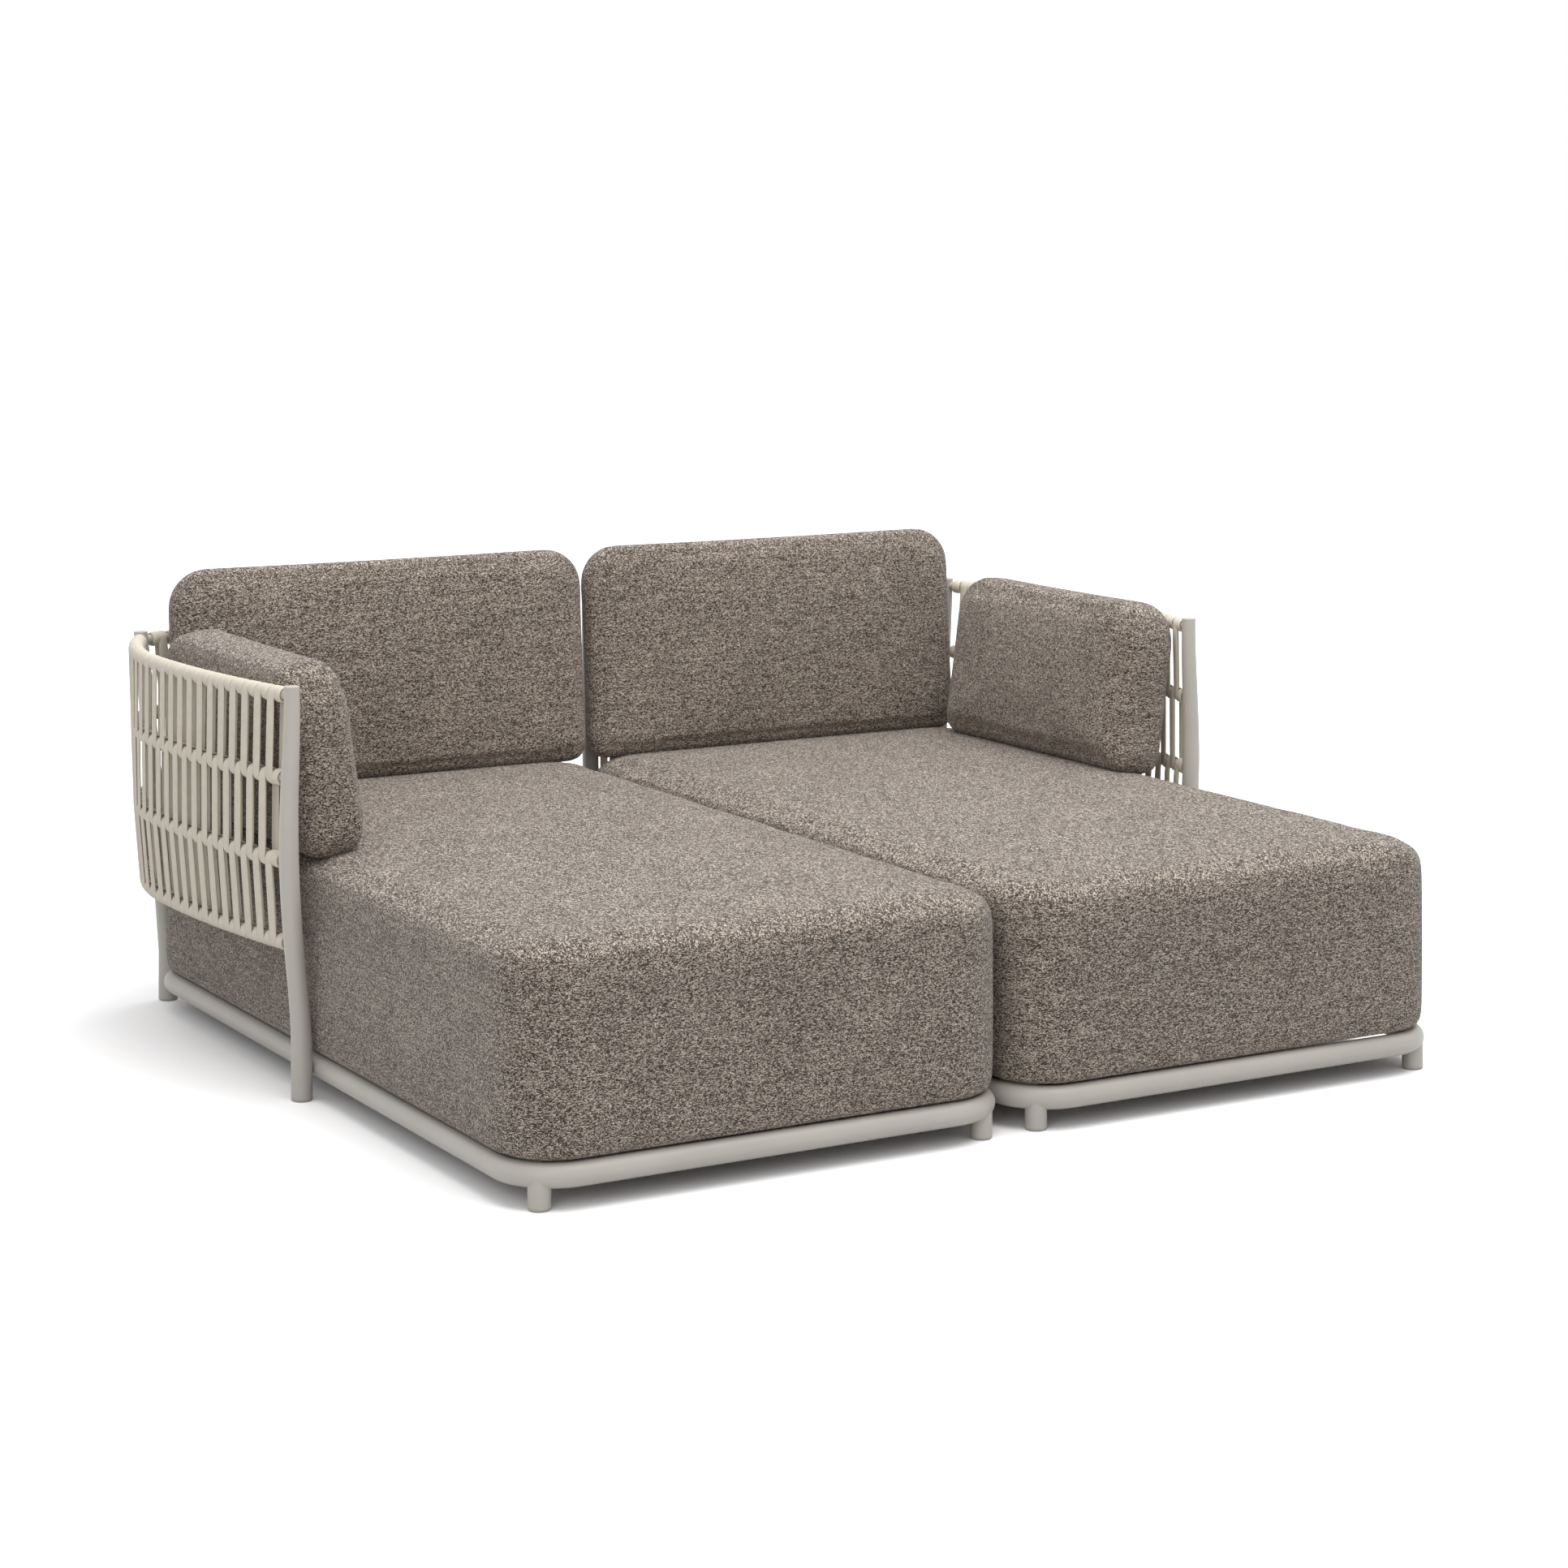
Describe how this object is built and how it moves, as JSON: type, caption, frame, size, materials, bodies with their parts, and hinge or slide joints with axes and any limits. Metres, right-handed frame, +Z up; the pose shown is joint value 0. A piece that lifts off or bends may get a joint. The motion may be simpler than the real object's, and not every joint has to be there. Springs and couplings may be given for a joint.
{
  "type": "double daybed",
  "caption": "Deep outdoor daybed of two mirrored modules on tube rings, with thick seat blocks, loose back and side cushions, and rope-wound curved arm and back panels.",
  "frame": {"origin": "on the floor, in the middle of the pair, under the centre of its overall box", "axes": "+X across the pair towards the right module, +Y from the seat front to the back panels, +Z up"},
  "size_m": [2.2106, 1.8748, 0.9001],
  "materials": {
    "frame": "matt powder coat, warm light grey",
    "deck": "matt grey paint",
    "glide": "matt, coloured like the frame",
    "steel": "plain",
    "rope": "flat woven outdoor rope, cream",
    "upholstery": "coarse two-tone weave, taupe"
  },
  "bodies": {
    "left_module": {"base_ring_left": "frame", "deck_bars_left": "deck", "front_legs_left": "frame", "glides_left": "glide", "arm_post_left": "frame", "corner_post_left": "frame", "inner_post_left": "frame", "post_caps_left": "frame", "post_bolts_left": "steel", "arm_rails_left": "frame", "back_rails_left": "frame", "arm_rail_wraps_left": "rope", "back_rail_wraps_left": "rope", "arm_strands_low_left": "rope", "arm_strands_middle_left": "rope", "arm_strands_top_left": "rope", "back_strands_left": "rope", "link_plates": "steel", "link_screws": "steel"},
    "seat_left": {"seat_block_left": "upholstery"},
    "back_left": {"back_cushion_left": "upholstery"},
    "side_left": {"side_cushion_left": "upholstery"},
    "right_module": {"base_ring_right": "frame", "deck_bars_right": "deck", "front_legs_right": "frame", "glides_right": "glide", "arm_post_right": "frame", "corner_post_right": "frame", "inner_post_right": "frame", "post_caps_right": "frame", "post_bolts_right": "steel", "arm_rails_right": "frame", "back_rails_right": "frame", "arm_rail_wraps_right": "rope", "back_rail_wraps_right": "rope", "arm_strands_low_right": "rope", "arm_strands_middle_right": "rope", "arm_strands_top_right": "rope", "back_strands_right": "rope"},
    "seat_right": {"seat_block_right": "upholstery"},
    "back_right": {"back_cushion_right": "upholstery"},
    "side_right": {"side_cushion_right": "upholstery"}
  },
  "joints": [
    {"name": "module_pull", "type": "slide", "parent": "left_module", "child": "right_module", "axis": [1, 0, 0], "range_m": [0, 0.6]},
    {"name": "seat_lift_left", "type": "slide", "parent": "left_module", "child": "seat_left", "axis": [0, 0, 1], "range_m": [0, 0.3]},
    {"name": "back_lift_left", "type": "slide", "parent": "seat_left", "child": "back_left", "axis": [0, 0, 1], "range_m": [0, 0.4]},
    {"name": "side_lift_left", "type": "slide", "parent": "seat_left", "child": "side_left", "axis": [0, 0, 1], "range_m": [0, 0.4]},
    {"name": "seat_lift_right", "type": "slide", "parent": "right_module", "child": "seat_right", "axis": [0, 0, 1], "range_m": [0, 0.3]},
    {"name": "back_lift_right", "type": "slide", "parent": "seat_right", "child": "back_right", "axis": [0, 0, 1], "range_m": [0, 0.4]},
    {"name": "side_lift_right", "type": "slide", "parent": "seat_right", "child": "side_right", "axis": [0, 0, 1], "range_m": [0, 0.4]}
  ]
}
